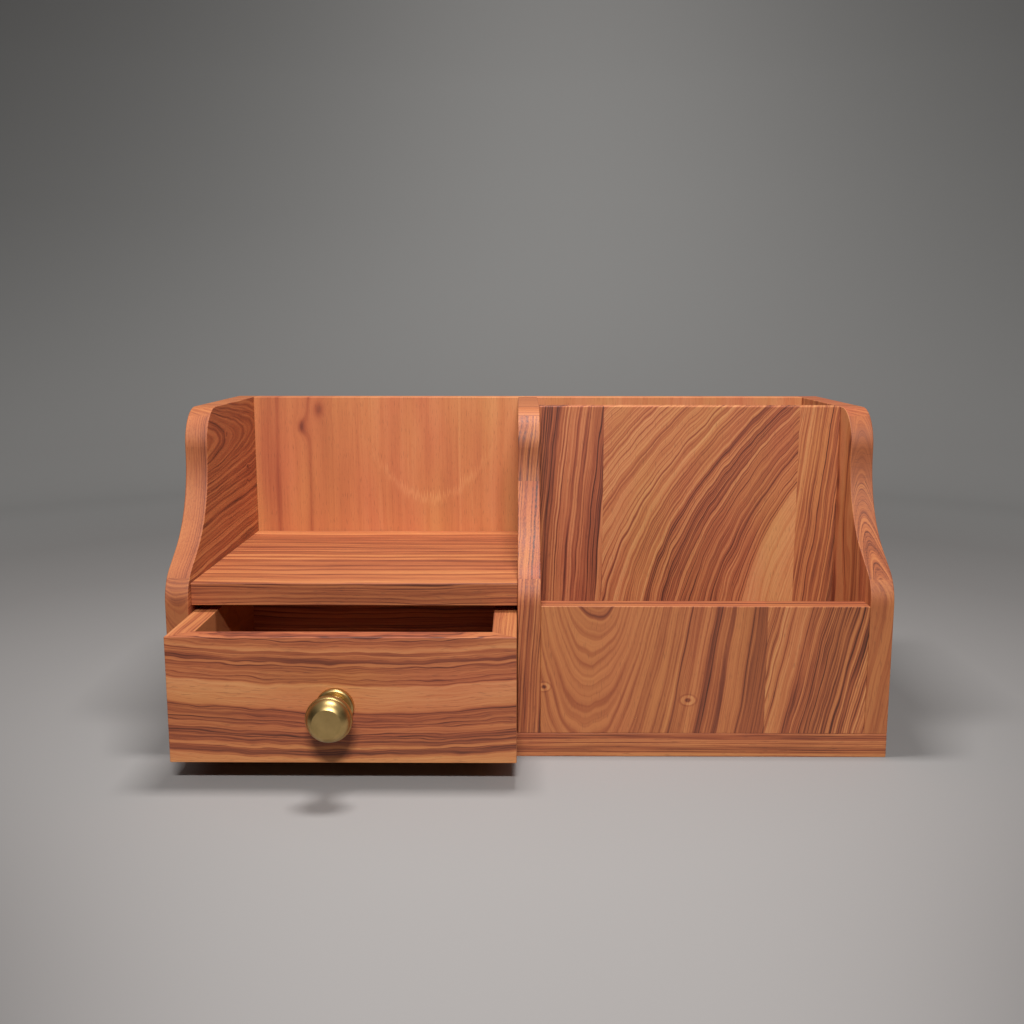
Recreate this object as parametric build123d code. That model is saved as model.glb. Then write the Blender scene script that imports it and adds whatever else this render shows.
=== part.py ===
from build123d import *
import os
from math import atan2, degrees
from typing import NamedTuple

# Wooden desk organizer. The left half is an open nook over one drawer, and the right half is a letter
# rack that a tall divider splits into a front slot and a back slot. Three uprights with a curved front
# edge stand on the base board, two outside and one between the halves.
#
# Millimetres, +X to the right, +Y to the back, +Z up. The origin is the middle of the base's underside.
# The drawer is modelled partly pulled out.

# ---------------------------------------------------------------- driving dimensions: case
CASE_HEIGHT = 167.0  # from the desk to the top of the uprights
CASE_DEPTH = 156.5
DRAWER_BAY_WIDTH = 158.4  # between the left and the middle upright
LETTER_BAY_WIDTH = 158.0  # between the middle and the right upright
DRAWER_BAY_HEIGHT = 62.7  # between the base and the shelf

SIDE_THICKNESS = 11.2
BASE_THICKNESS = 12.0
BACK_THICKNESS = 11.0
SHELF_THICKNESS = 11.0
DIVIDER_THICKNESS = 12.0
LETTER_FRONT_THICKNESS = 11.0

SHELF_SETBACK = 4.9  # of the shelf's front edge behind the front plane
DIVIDER_SETBACK = 65.2  # of the divider's front face behind the front plane
LETTER_FRONT_HEIGHT = 63.8  # above the base
EDGE_EASE = 0.4  # radius that sandpaper leaves on every edge

# Glued-up boards: widths of the outer staves
DIVIDER_LEFT_STAVE = 34.0
DIVIDER_RIGHT_STAVE = 21.3
LETTER_FRONT_RIGHT_STAVE = 49.0

# Curved front edge of an upright
LOBE_RISE = 1.6  # start of the convex lobe above the underside of the shelf
LOBE_RADIUS = 18.5
RAMP_LENGTH = 12.8  # straight stretch between the lobe and the concave waist
UPPER_SETBACK = 43.8  # of the neck behind the front plane
NECK_STRAIGHT = 3.6  # vertical stretch under the rounded top corner
TOP_CORNER_RADIUS = 19.5

# ---------------------------------------------------------------- driving dimensions: drawer
DRAWER_OPEN = 39.0  # how far the drawer is pulled out in this model
DRAWER_HEADROOM = 3.4  # under the shelf
RUNNING_CLEARANCE = 0.3  # beside and under the drawer
DRAWER_FRONT_THICKNESS = 9.4
DRAWER_SIDE_THICKNESS = 11.2
DRAWER_BACK_THICKNESS = 11.0
DRAWER_BOTTOM_THICKNESS = 4.0
DRAWER_BOTTOM_RAISE = 5.0  # of the bottom panel above the lower edge of the walls
GROOVE_DEPTH = 3.5
GROOVE_CLEARANCE = 0.2

STOP_DEPTH = 15.2  # of the blocks that the closed drawer meets
STOP_WIDTH = 20.0
STOP_HEIGHT = 10.0
STOP_INSET = 30.0  # from the uprights
STOP_CLEARANCE = 0.3

SPLINE_WIDTH = 6.0  # across the mitre
SPLINE_THICKNESS = 3.0
SPLINE_END_MARGIN = 8.0  # of wood above the spline, and between it and the bottom groove

# ---------------------------------------------------------------- driving dimensions: knob
KNOB_OFFSET = -3.0  # of its axis from the middle of the drawer front
KNOB_DROP = 2.8
KNOB_PROJECTION = 23.0
KNOB_FLANGE_DIAMETER = 17.6
KNOB_FLANGE_THICKNESS = 2.8
KNOB_FLANGE_ROUND = 1.2
KNOB_NECK_DIAMETER = 9.4
KNOB_NECK_DISTANCE = 7.4  # of its thinnest place from the drawer front
KNOB_NECK_FLARE = 1.2  # of the neck where it meets the flange
KNOB_HEAD_DIAMETER = 20.9
KNOB_HEAD_DISTANCE = 16.2  # of its widest place from the drawer front
KNOB_RIM_THICKNESS = 3.8
KNOB_RIM_ROUND = 0.55  # how far the rim stands out from the dome
KNOB_DOME_BULGE = 0.75
KNOB_FACE_DIAMETER = 12.8
KNOB_SCREW_DIAMETER = 4.0
KNOB_SCREW_HEAD_DIAMETER = 8.0
KNOB_SCREW_HEAD_HEIGHT = 2.8
KNOB_SCREW_BITE = 9.6  # length inside the knob
KNOB_SCREW_ROUND = 1.2
WASHER_DIAMETER = 12.0
WASHER_THICKNESS = 1.0
SCREW_HOLE_CLEARANCE = 0.2  # all round, in the washer and the drawer front

# ---------------------------------------------------------------- driving dimensions: joinery
DOWEL_DIAMETER = 6.0
DOWEL_BOARD_DEPTH = 16.0  # of its hole in the end of the board that it holds
DOWEL_SKIN = 3.2  # wood left behind its hole in the board that carries it
DOWEL_CHAMFER = 0.6
SMALL_DOWEL_DIAMETER = 4.0
PIN_CLEARANCE = 0.05  # all round a dowel, a spline or a screw in its hole
PIN_END_GAP = 0.5
SHELF_DOWEL_INSET = 34.0
DIVIDER_DOWEL_INSET = 37.5
LETTER_FRONT_DOWEL_INSET = 16.0
BACK_DOWEL_INSET = 38.0
MIDDLE_DOWEL_INSET = 48.0
DRAWER_DOWEL_INSET = 14.0

SCREW_DIAMETER = 3.5
SCREW_HEAD_DIAMETER = 7.0
SCREW_LENGTH = 35.0
SCREW_POINT_LENGTH = 4.0
SCREW_SINK = 0.4  # of the head below the underside of the base
RECESS_WIDTH = 0.9  # of one slot of the cross
RECESS_SPAN = 0.55  # of the head's diameter
RECESS_DEPTH = 1.4
UPRIGHT_SCREW_INSET = 27.5
BACK_SCREW_INSET = 45.0
DIVIDER_SCREW_INSET = 55.0
LETTER_FRONT_SCREW_INSET = 30.0

# ---------------------------------------------------------------- places that follow from them
CASE_WIDTH = 3 * SIDE_THICKNESS + DRAWER_BAY_WIDTH + LETTER_BAY_WIDTH
LEFT_X = -CASE_WIDTH / 2
RIGHT_X = CASE_WIDTH / 2
DRAWER_BAY_X = (LEFT_X + SIDE_THICKNESS, LEFT_X + SIDE_THICKNESS + DRAWER_BAY_WIDTH)
LETTER_BAY_X = (RIGHT_X - SIDE_THICKNESS - LETTER_BAY_WIDTH, RIGHT_X - SIDE_THICKNESS)
FRONT_Y = -CASE_DEPTH / 2
BACK_Y = CASE_DEPTH / 2
BACK_PANEL_X = (DRAWER_BAY_X[0], LETTER_BAY_X[1])
BACK_PANEL_Y = (BACK_Y - BACK_THICKNESS, BACK_Y)
MIDDLE_SIDE_X = (DRAWER_BAY_X[1], LETTER_BAY_X[0])
UPRIGHT_Z = (BASE_THICKNESS, CASE_HEIGHT)

SHELF_Z = (BASE_THICKNESS + DRAWER_BAY_HEIGHT, BASE_THICKNESS + DRAWER_BAY_HEIGHT + SHELF_THICKNESS)
SHELF_Y = (FRONT_Y + SHELF_SETBACK, BACK_PANEL_Y[0])
DIVIDER_Y = (FRONT_Y + DIVIDER_SETBACK, FRONT_Y + DIVIDER_SETBACK + DIVIDER_THICKNESS)
LETTER_FRONT_Y = (FRONT_Y, FRONT_Y + LETTER_FRONT_THICKNESS)
LETTER_FRONT_Z = (BASE_THICKNESS, BASE_THICKNESS + LETTER_FRONT_HEIGHT)

# The lobe, the ramp and the waist join smoothly: their turns cancel, and together they climb from the
# lobe's start to the neck and go back by the upper setback. That fixes the waist's radius and the turn.
LOBE_Z = SHELF_Z[0] + LOBE_RISE
CROWN_Z = CASE_HEIGHT - TOP_CORNER_RADIUS
CURVE_RISE = CROWN_Z - NECK_STRAIGHT - LOBE_Z
ARC_RADII = (UPPER_SETBACK**2 + CURVE_RISE**2 - RAMP_LENGTH**2) / (2 * UPPER_SETBACK)
WAIST_RADIUS = ARC_RADII - LOBE_RADIUS
RAMP_TURN = degrees(atan2(CURVE_RISE, ARC_RADII - UPPER_SETBACK) - atan2(RAMP_LENGTH, ARC_RADII))

DRAWER_LENGTH = BACK_PANEL_Y[0] - FRONT_Y - STOP_DEPTH - STOP_CLEARANCE
DRAWER_X = (DRAWER_BAY_X[0] + RUNNING_CLEARANCE, DRAWER_BAY_X[1] - RUNNING_CLEARANCE)
DRAWER_Y = (FRONT_Y - DRAWER_OPEN, FRONT_Y - DRAWER_OPEN + DRAWER_LENGTH)
DRAWER_Z = (BASE_THICKNESS + RUNNING_CLEARANCE, SHELF_Z[0] - DRAWER_HEADROOM)
TRAY_X = (DRAWER_X[0] + DRAWER_SIDE_THICKNESS, DRAWER_X[1] - DRAWER_SIDE_THICKNESS)
TRAY_Y = (DRAWER_Y[0] + DRAWER_FRONT_THICKNESS, DRAWER_Y[1] - DRAWER_BACK_THICKNESS)
GROOVE_Z = (
    DRAWER_Z[0] + DRAWER_BOTTOM_RAISE,
    DRAWER_Z[0] + DRAWER_BOTTOM_RAISE + DRAWER_BOTTOM_THICKNESS + GROOVE_CLEARANCE,
)
SPLINE_Z = (GROOVE_Z[1] + SPLINE_END_MARGIN, DRAWER_Z[1] - SPLINE_END_MARGIN)
KNOB_X = sum(DRAWER_X) / 2 + KNOB_OFFSET
KNOB_Z = sum(DRAWER_Z) / 2 - KNOB_DROP


def middle(pair):
    """Value half way between two."""
    return (pair[0] + pair[1]) / 2


def inset(pair, distance):
    """The two values that lie inside a pair by a distance."""
    return (pair[0] + distance, pair[1] - distance)


# ---------------------------------------------------------------- boards
def block(x, y, z):
    """Sharp-edged box between two values on each axis."""
    box = Box(x[1] - x[0], y[1] - y[0], z[1] - z[0], align=(Align.MIN, Align.MIN, Align.MIN))
    return Pos(x[0], y[0], z[0]) * box


def eased_board(x, y, z):
    """Box between two values on each axis with every edge eased."""
    board = block(x, y, z)
    return fillet(board.edges(), EDGE_EASE)


def upright_outline(back_y):
    """Side view of an upright: foot, lobe, ramp, waist, neck and top corner, then square to the back."""
    foot = (FRONT_Y, UPRIGHT_Z[0])
    lobe_start = (FRONT_Y, LOBE_Z)
    edge = Line(foot, lobe_start)
    lobe = JernArc(lobe_start, (0, 1), LOBE_RADIUS, -RAMP_TURN)
    ramp = Line(lobe @ 1, lobe @ 1 + (lobe % 1) * RAMP_LENGTH)
    waist = JernArc(ramp @ 1, ramp % 1, WAIST_RADIUS, RAMP_TURN)
    neck = Line(waist @ 1, (FRONT_Y + UPPER_SETBACK, CROWN_Z))
    crown = JernArc(neck @ 1, (0, 1), TOP_CORNER_RADIUS, -90)
    rest = Polyline(crown @ 1, (back_y, CASE_HEIGHT), (back_y, UPRIGHT_Z[0]), foot)
    return make_face([*edge.edges(), *lobe.edges(), *ramp.edges(), *waist.edges(), *neck.edges(),
                      *crown.edges(), *rest.edges()])


def upright(left_x, back_y):
    """Upright whose left face lies at left_x and whose back edge lies at back_y."""
    plane = Plane(origin=(left_x, 0, 0), x_dir=(0, 1, 0), z_dir=(1, 0, 0))
    panel = extrude(plane * upright_outline(back_y), SIDE_THICKNESS)
    faces = panel.faces().sort_by(Axis.X)
    corners = panel.edges().filter_by(Axis.X).filter_by(
        lambda edge: edge.center().Y > back_y - EDGE_EASE or edge.center().Z < UPRIGHT_Z[0] + EDGE_EASE
    )
    return fillet(faces[0].edges() + faces[-1].edges() + corners, EDGE_EASE)


def staves(board, x):
    """Cuts a glued-up board at the seams: x lists its left end, each seam and its right end."""
    box = board.bounding_box()
    y = (box.min.Y, box.max.Y)
    z = (box.min.Z, box.max.Z)
    return [board & block((left, right), y, z) for left, right in zip(x, x[1:])]


# ---------------------------------------------------------------- dowels and screws
def rod(point, direction, diameter, length):
    """Cylinder that starts at a point and runs along a direction."""
    bar = Cylinder(diameter / 2, length, align=(Align.CENTER, Align.CENTER, Align.MIN))
    return Plane(origin=point, z_dir=direction) * bar


class DowelJoint(NamedTuple):
    """A dowel across the face between the board that carries and the board that is held."""

    point: Vector  # where its axis crosses that face
    direction: Vector  # from the carrying board into the held one
    carrier_depth: float  # of the hole in the carrying board
    diameter: float

    def dowel(self):
        """The dowel, with its ends chamfered."""
        length = self.carrier_depth + DOWEL_BOARD_DEPTH - 2 * PIN_END_GAP
        start = self.point - self.direction * (self.carrier_depth - PIN_END_GAP)
        bar = rod(start, self.direction, self.diameter, length)
        return chamfer(bar.edges().filter_by(GeomType.CIRCLE), DOWEL_CHAMFER)

    def hole(self):
        """The holes in both boards as one cylinder."""
        length = self.carrier_depth + DOWEL_BOARD_DEPTH
        start = self.point - self.direction * self.carrier_depth
        return rod(start, self.direction, self.diameter + 2 * PIN_CLEARANCE, length)


def end_joints(x, y_values, z_values, carrier_thickness, diameter):
    """Joints at both ends of a board that lies between two values of x."""
    depth = carrier_thickness - DOWEL_SKIN
    return [
        DowelJoint(Vector(end, y, z), Vector(way, 0, 0), depth, diameter)
        for end, way in ((x[0], 1), (x[1], -1))
        for y in y_values
        for z in z_values
    ]


def turned(outline, point, direction):
    """Solid of revolution: the outline lies in the XZ plane, and its axis starts at the point."""
    return Plane(origin=point, z_dir=direction) * revolve(make_face(outline), Axis.Z)


def screw_outline(grow, end_gap):
    """Half section of a countersunk wood screw, grown all round and at its point to make its hole."""
    head = SCREW_HEAD_DIAMETER / 2 + grow
    shank = SCREW_DIAMETER / 2 + grow
    tip = SCREW_LENGTH + end_gap
    cone = (SCREW_HEAD_DIAMETER - SCREW_DIAMETER) / 2
    corners = [(0, 0), (head, 0), (shank, cone), (shank, tip - SCREW_POINT_LENGTH), (0, tip)]
    return Polyline(*[(radius, 0, height) for radius, height in corners], close=True).edges()


def screw(x, y):
    """Countersunk screw that enters the base from below, with a cross recess in its head."""
    body = turned(screw_outline(0, 0), (0, 0, SCREW_SINK), (0, 0, 1))
    span = RECESS_SPAN * SCREW_HEAD_DIAMETER
    slot = block((-span / 2, span / 2), (-RECESS_WIDTH / 2, RECESS_WIDTH / 2), (0, SCREW_SINK + RECESS_DEPTH))
    return Pos(x, y, 0) * (body - slot - Rot(0, 0, 90) * slot)


def screw_hole(x, y):
    """Hole for that screw through the base and into the board above it."""
    pocket = rod((0, 0, 0), (0, 0, 1), SCREW_HEAD_DIAMETER + 2 * PIN_CLEARANCE, SCREW_SINK)
    bore = turned(screw_outline(PIN_CLEARANCE, PIN_END_GAP), (0, 0, SCREW_SINK), (0, 0, 1))
    return Pos(x, y, 0) * (pocket + bore)


def cut(piece, tools):
    """The piece without the tools, which may be an empty list."""
    for tool in tools:
        piece = piece - tool
    return piece


# ---------------------------------------------------------------- joints of the case
SHELF_JOINTS = end_joints(
    DRAWER_BAY_X, inset(SHELF_Y, SHELF_DOWEL_INSET), [middle(SHELF_Z)], SIDE_THICKNESS, DOWEL_DIAMETER
)
DIVIDER_JOINTS = end_joints(
    LETTER_BAY_X, [middle(DIVIDER_Y)], inset(UPRIGHT_Z, DIVIDER_DOWEL_INSET), SIDE_THICKNESS, DOWEL_DIAMETER
)
LETTER_FRONT_JOINTS = end_joints(
    LETTER_BAY_X, [middle(LETTER_FRONT_Y)], inset(LETTER_FRONT_Z, LETTER_FRONT_DOWEL_INSET), SIDE_THICKNESS,
    DOWEL_DIAMETER,
)
BACK_JOINTS = end_joints(
    BACK_PANEL_X,
    [middle(BACK_PANEL_Y)],
    [*inset(UPRIGHT_Z, BACK_DOWEL_INSET), middle(UPRIGHT_Z)],
    SIDE_THICKNESS,
    DOWEL_DIAMETER,
)
MIDDLE_JOINTS = [
    DowelJoint(
        Vector(middle(MIDDLE_SIDE_X), BACK_PANEL_Y[0], z),
        Vector(0, -1, 0),
        BACK_THICKNESS - DOWEL_SKIN,
        DOWEL_DIAMETER,
    )
    for z in inset(UPRIGHT_Z, MIDDLE_DOWEL_INSET)
]
CASE_JOINTS = SHELF_JOINTS + DIVIDER_JOINTS + LETTER_FRONT_JOINTS + BACK_JOINTS + MIDDLE_JOINTS

UPRIGHT_CENTRES = [LEFT_X + SIDE_THICKNESS / 2, middle(MIDDLE_SIDE_X), RIGHT_X - SIDE_THICKNESS / 2]
SCREW_PLACES = [(x, y) for x in UPRIGHT_CENTRES for y in inset((FRONT_Y, BACK_Y), UPRIGHT_SCREW_INSET)]
SCREW_PLACES += [(x, middle(LETTER_FRONT_Y)) for x in inset(LETTER_BAY_X, LETTER_FRONT_SCREW_INSET)]
SCREW_PLACES += [(x, middle(DIVIDER_Y)) for x in inset(LETTER_BAY_X, DIVIDER_SCREW_INSET)]
SCREW_PLACES += [(x, middle(BACK_PANEL_Y)) for x in inset(BACK_PANEL_X, BACK_SCREW_INSET)]

DRAWER_JOINTS = end_joints(
    TRAY_X, [DRAWER_Y[1] - DRAWER_BACK_THICKNESS / 2], inset((GROOVE_Z[1], DRAWER_Z[1]), DRAWER_DOWEL_INSET),
    DRAWER_SIDE_THICKNESS, SMALL_DOWEL_DIAMETER,
)


# ---------------------------------------------------------------- case pieces
def joined(piece):
    """A case board with the holes of every dowel and screw that enters it."""
    box = piece.bounding_box()
    holes = [joint.hole() for joint in CASE_JOINTS] + [screw_hole(*place) for place in SCREW_PLACES]
    return cut(piece, [hole for hole in holes if box.overlaps(hole.bounding_box())])


def case_pieces():
    """Every wooden board of the case by name."""
    letter_front = eased_board(LETTER_BAY_X, LETTER_FRONT_Y, LETTER_FRONT_Z)
    front_seam = LETTER_BAY_X[1] - LETTER_FRONT_RIGHT_STAVE
    front_staves = staves(letter_front, [LETTER_BAY_X[0], front_seam, LETTER_BAY_X[1]])
    divider = eased_board(LETTER_BAY_X, DIVIDER_Y, UPRIGHT_Z)
    divider_seams = [LETTER_BAY_X[0] + DIVIDER_LEFT_STAVE, LETTER_BAY_X[1] - DIVIDER_RIGHT_STAVE]
    divider_staves = staves(divider, [LETTER_BAY_X[0], *divider_seams, LETTER_BAY_X[1]])
    boards = {
        "base_board": eased_board((LEFT_X, RIGHT_X), (FRONT_Y, BACK_Y), (0, BASE_THICKNESS)),
        "left_side": upright(LEFT_X, BACK_Y),
        "middle_side": upright(MIDDLE_SIDE_X[0], BACK_PANEL_Y[0]),
        "right_side": upright(LETTER_BAY_X[1], BACK_Y),
        "back_panel": eased_board(BACK_PANEL_X, BACK_PANEL_Y, UPRIGHT_Z),
        "shelf_board": eased_board(DRAWER_BAY_X, SHELF_Y, SHELF_Z),
        "letter_front_left_stave": front_staves[0],
        "letter_front_right_stave": front_staves[1],
        "divider_left_stave": divider_staves[0],
        "divider_middle_stave": divider_staves[1],
        "divider_right_stave": divider_staves[2],
    }
    return {name: joined(board) for name, board in boards.items()}


def drawer_stops():
    """Two blocks glued on the base against the back panel, where the closed drawer meets them."""
    y = (BACK_PANEL_Y[0] - STOP_DEPTH, BACK_PANEL_Y[0])
    z = (BASE_THICKNESS, BASE_THICKNESS + STOP_HEIGHT)
    left, right = inset(DRAWER_BAY_X, STOP_INSET)
    return [eased_board(x, y, z) for x in ((left, left + STOP_WIDTH), (right - STOP_WIDTH, right))]


# ---------------------------------------------------------------- drawer pieces
def plan_prism(points):
    """Upright prism over a plan polygon, as high as the drawer's walls."""
    outline = make_face(Polyline(*points, close=True).edges())
    return extrude(Pos(0, 0, DRAWER_Z[0]) * outline, DRAWER_Z[1] - DRAWER_Z[0])


def mitre_key(side, grow):
    """Spline across one front mitre, grown all round and at its ends to make its slot."""
    outer = DRAWER_X[0] if side < 0 else DRAWER_X[1]
    inward = Vector(-side * DRAWER_SIDE_THICKNESS, DRAWER_FRONT_THICKNESS)
    centre = Vector(outer, DRAWER_Y[0], SPLINE_Z[0] - grow) + inward / 2
    key = Box(
        SPLINE_THICKNESS + 2 * grow,
        SPLINE_WIDTH + 2 * grow,
        SPLINE_Z[1] - SPLINE_Z[0] + 2 * grow,
        align=(Align.CENTER, Align.CENTER, Align.MIN),
    )
    return Plane(origin=centre, x_dir=inward, z_dir=(0, 0, 1)) * key


def drawer_walls():
    """Front and sides, which meet in mitres at the front, and the back between the sides."""
    left, right = DRAWER_X
    front, back = DRAWER_Y
    envelope = eased_board(DRAWER_X, DRAWER_Y, DRAWER_Z)
    walls = {
        "drawer_front": [(left, front), (right, front), (TRAY_X[1], TRAY_Y[0]), (TRAY_X[0], TRAY_Y[0])],
        "drawer_left_side": [(left, front), (TRAY_X[0], TRAY_Y[0]), (TRAY_X[0], back), (left, back)],
        "drawer_right_side": [(right, front), (TRAY_X[1], TRAY_Y[0]), (TRAY_X[1], back), (right, back)],
    }
    walls = {name: plan_prism(points) & envelope for name, points in walls.items()}
    walls["drawer_back"] = block(TRAY_X, (TRAY_Y[1], back), DRAWER_Z) & envelope
    inner = {
        "drawer_front": (Axis.Y, -1, Axis.X),
        "drawer_left_side": (Axis.X, -1, Axis.Y),
        "drawer_right_side": (Axis.X, 0, Axis.Y),
        "drawer_back": (Axis.Y, 0, Axis.X),
    }
    groove = block(inset(TRAY_X, -GROOVE_DEPTH), inset(TRAY_Y, -GROOVE_DEPTH), GROOVE_Z)
    holes = [groove, mitre_key(-1, PIN_CLEARANCE), mitre_key(1, PIN_CLEARANCE), knob_screw_hole()]
    holes += [joint.hole() for joint in DRAWER_JOINTS]
    for name, (across, which, along) in inner.items():
        face = walls[name].faces().sort_by(across)[which]
        eased = fillet(face.edges().filter_by(along), EDGE_EASE)
        walls[name] = cut(eased, holes)
    return walls


def drawer_bottom():
    """Thin panel that rests in the grooves of the four walls."""
    reach = GROOVE_CLEARANCE - GROOVE_DEPTH
    z = (GROOVE_Z[0], GROOVE_Z[0] + DRAWER_BOTTOM_THICKNESS)
    return block(inset(TRAY_X, reach), inset(TRAY_Y, reach), z)


# ---------------------------------------------------------------- knob
def knob_screw_hole():
    """Clearance hole for the knob's screw through the drawer front."""
    diameter = KNOB_SCREW_DIAMETER + 2 * SCREW_HOLE_CLEARANCE
    return rod((KNOB_X, DRAWER_Y[0], KNOB_Z), (0, 1, 0), diameter, DRAWER_FRONT_THICKNESS)


def knob():
    """Turned knob: round-edged flange, waisted neck, and a domed head with a raised rim and a flat face."""
    flange = KNOB_FLANGE_DIAMETER / 2
    head = KNOB_HEAD_DIAMETER / 2
    face = KNOB_FACE_DIAMETER / 2
    neck = KNOB_NECK_DIAMETER / 2
    dome = head - KNOB_RIM_ROUND
    rim_back = KNOB_HEAD_DISTANCE - KNOB_RIM_THICKNESS / 2
    rim_front = KNOB_HEAD_DISTANCE + KNOB_RIM_THICKNESS / 2
    flange_edge = KNOB_FLANGE_THICKNESS - KNOB_FLANGE_ROUND
    neck_foot = (neck + KNOB_NECK_FLARE, KNOB_FLANGE_THICKNESS)
    with BuildSketch(Plane.XZ) as section:
        with BuildLine():
            Polyline((0, 0), (flange, 0), (flange, flange_edge))
            JernArc((flange, flange_edge), (0, 1), KNOB_FLANGE_ROUND, 90)
            Line((flange - KNOB_FLANGE_ROUND, KNOB_FLANGE_THICKNESS), neck_foot)
            Spline(
                neck_foot,
                (neck, KNOB_NECK_DISTANCE),
                (dome, rim_back),
                tangents=[(-1, 1.6), (1, 0.35)],
            )
            rim_radii = (KNOB_RIM_ROUND, KNOB_RIM_THICKNESS / 2)
            EllipticalCenterArc((dome, KNOB_HEAD_DISTANCE), *rim_radii, -90, arc_size=180)
            SagittaArc((dome, rim_front), (face, KNOB_PROJECTION), -KNOB_DOME_BULGE)
            Polyline((face, KNOB_PROJECTION), (0, KNOB_PROJECTION), (0, 0))
        make_face()
    body = revolve(section.sketch, Axis.Z)
    thread = rod((0, 0, 0), (0, 0, 1), KNOB_SCREW_DIAMETER + 2 * PIN_CLEARANCE, KNOB_SCREW_BITE + PIN_END_GAP)
    return Plane(origin=(KNOB_X, DRAWER_Y[0], KNOB_Z), z_dir=(0, -1, 0)) * (body - thread)


def knob_washer():
    """Flat washer between the screw's head and the inside of the drawer front."""
    seat = (KNOB_X, TRAY_Y[0], KNOB_Z)
    hole_diameter = KNOB_SCREW_DIAMETER + 2 * SCREW_HOLE_CLEARANCE
    disc = rod(seat, (0, 1, 0), WASHER_DIAMETER, WASHER_THICKNESS)
    return disc - rod(seat, (0, 1, 0), hole_diameter, WASHER_THICKNESS)


def knob_screw():
    """Pan-head machine screw from inside the drawer into the knob."""
    seat = TRAY_Y[0] + WASHER_THICKNESS
    length = WASHER_THICKNESS + DRAWER_FRONT_THICKNESS + KNOB_SCREW_BITE
    head = rod((KNOB_X, seat, KNOB_Z), (0, 1, 0), KNOB_SCREW_HEAD_DIAMETER, KNOB_SCREW_HEAD_HEIGHT)
    rim = head.edges().filter_by(GeomType.CIRCLE).sort_by(Axis.Y)[-1]
    shank = rod((KNOB_X, seat, KNOB_Z), (0, -1, 0), KNOB_SCREW_DIAMETER, length)
    span = RECESS_SPAN * KNOB_SCREW_HEAD_DIAMETER / 2
    back = seat + KNOB_SCREW_HEAD_HEIGHT
    slot = block((-span, span), (back - RECESS_DEPTH, back), (-RECESS_WIDTH / 2, RECESS_WIDTH / 2))
    recess = Pos(KNOB_X, 0, KNOB_Z) * (slot + Rot(0, 90, 0) * slot)
    return fillet(rim, KNOB_SCREW_ROUND) + shank - recess


# ---------------------------------------------------------------- all nodes
def nodes():
    """Every node by name: one solid, or a list of like solids."""
    pieces = case_pieces()
    pieces["base_screws"] = [screw(*place) for place in SCREW_PLACES]
    pieces["shelf_dowels"] = [joint.dowel() for joint in SHELF_JOINTS]
    pieces["divider_dowels"] = [joint.dowel() for joint in DIVIDER_JOINTS]
    pieces["letter_front_dowels"] = [joint.dowel() for joint in LETTER_FRONT_JOINTS]
    pieces["back_panel_dowels"] = [joint.dowel() for joint in BACK_JOINTS + MIDDLE_JOINTS]
    pieces["drawer_stops"] = drawer_stops()
    pieces.update(drawer_walls())
    pieces["drawer_bottom"] = drawer_bottom()
    pieces["drawer_corner_splines"] = [mitre_key(side, 0) for side in (-1, 1)]
    pieces["drawer_back_dowels"] = [joint.dowel() for joint in DRAWER_JOINTS]
    pieces["knob"] = knob()
    pieces["knob_washer"] = knob_washer()
    pieces["knob_screw"] = knob_screw()
    return pieces


def as_shape(made):
    """One solid, or a compound of a list of like solids."""
    if isinstance(made, list):
        return Compound([solid for piece in made for solid in piece.solids()])
    return made.solid()


os.makedirs("parts", exist_ok=True)
for node, made in nodes().items():
    export_step(as_shape(made), f"parts/{node}.step")
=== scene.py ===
"""Desk organizer with one drawer: finishes for its wooden boards, brass knob and screws, and a small studio.

The shapes are the frame's own nodes. Each board gets a solid wood figure that runs through its thickness, so
that faces, edges and end grain agree with each other as they do on sawn wood.
"""

import math
from typing import NamedTuple

import bpy
import numpy as np
from mathutils import Matrix, Vector


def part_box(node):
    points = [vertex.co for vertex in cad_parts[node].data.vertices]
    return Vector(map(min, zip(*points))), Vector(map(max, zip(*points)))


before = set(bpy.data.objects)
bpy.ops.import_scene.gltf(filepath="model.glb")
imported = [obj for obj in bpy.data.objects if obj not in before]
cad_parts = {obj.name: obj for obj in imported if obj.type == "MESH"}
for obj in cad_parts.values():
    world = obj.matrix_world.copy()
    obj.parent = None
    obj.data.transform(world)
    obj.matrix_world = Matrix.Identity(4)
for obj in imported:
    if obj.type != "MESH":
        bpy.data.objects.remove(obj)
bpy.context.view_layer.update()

bl_info = {
    "name": "Desk organizer finishes",
    "version": (1, 0, 0),
    "blender": (4, 5, 0),
    "location": "3D View > Sidebar > Organizer",
    "description": "Finishes a wooden desk organizer with a drawer and sets it in a small studio",
    "category": "Object",
}

MM = 0.001
AXES = {"X": Vector((1, 0, 0)), "Y": Vector((0, 1, 0)), "Z": Vector((0, 0, 1))}

# A Mix node's sockets for values and for colours share their names, so they are called by number.
FACTOR = 0
FIRST_VALUE, SECOND_VALUE = 2, 3
FIRST_COLOUR, SECOND_COLOUR = 6, 7
MIXED_COLOUR = 2
# Noise runs from 0 to 1. It mostly lies between low and high, and seldom strays past its reach of the middle.
NOISE_MIDDLE = 0.5
NOISE_REACH = 0.25
NOISE_LOW, NOISE_HIGH = 0.3, 0.7
# These make a Map Range node go from 1 down to 0.
FALLING = {"To Min": 1.0, "To Max": 0.0}


# -------- colours and nodes


def linear(colour):
    """Turn an sRGB hex colour such as "#B77048" into Blender's linear red, green and blue."""
    parts = [int(colour[place : place + 2], 16) / 255 for place in (1, 3, 5)]
    return tuple(part / 12.92 if part <= 0.04045 else ((part + 0.055) / 1.055) ** 2.4 for part in parts)


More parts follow.
